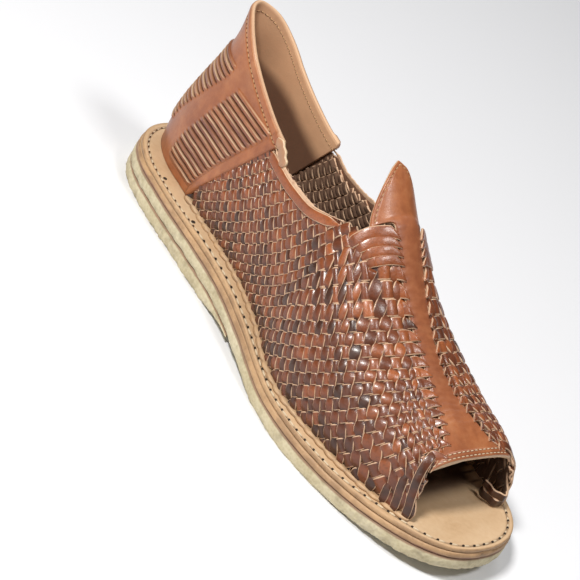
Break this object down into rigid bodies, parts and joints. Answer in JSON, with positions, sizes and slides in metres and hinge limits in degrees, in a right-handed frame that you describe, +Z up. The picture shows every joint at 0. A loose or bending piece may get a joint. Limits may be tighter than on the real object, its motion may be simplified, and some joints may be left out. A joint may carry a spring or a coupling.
{
  "type": "leather woven sandal shoe",
  "caption": "Open-toe woven leather shoe with a closed tall heel, centre strap with pointed tongue, stacked leather and crepe sole.",
  "frame": {"origin": "on the floor, under the middle of the shoe's length and width", "axes": "+Z up, toe towards -Y, lateral side towards -X"},
  "size_m": [0.0992, 0.28, 0.1089],
  "materials": {
    "crepe": "cream crepe rubber, cut edge with a fine rough grain",
    "natural_leather": "undyed vegetable tanned leather, burnished cut edge",
    "woven_leather": "glossy red-brown strips with pale cut edges",
    "smooth_leather": "smooth tan-orange leather, waxed, soft gloss"
  },
  "bodies": {
    "root": {"heel_lift": "crepe", "outsole": "crepe", "midsole": "natural_leather", "insole": "natural_leather", "woven_upper": "woven_leather", "heel_counter": "smooth_leather", "strap_and_tongue": "smooth_leather"}
  },
  "joints": []
}
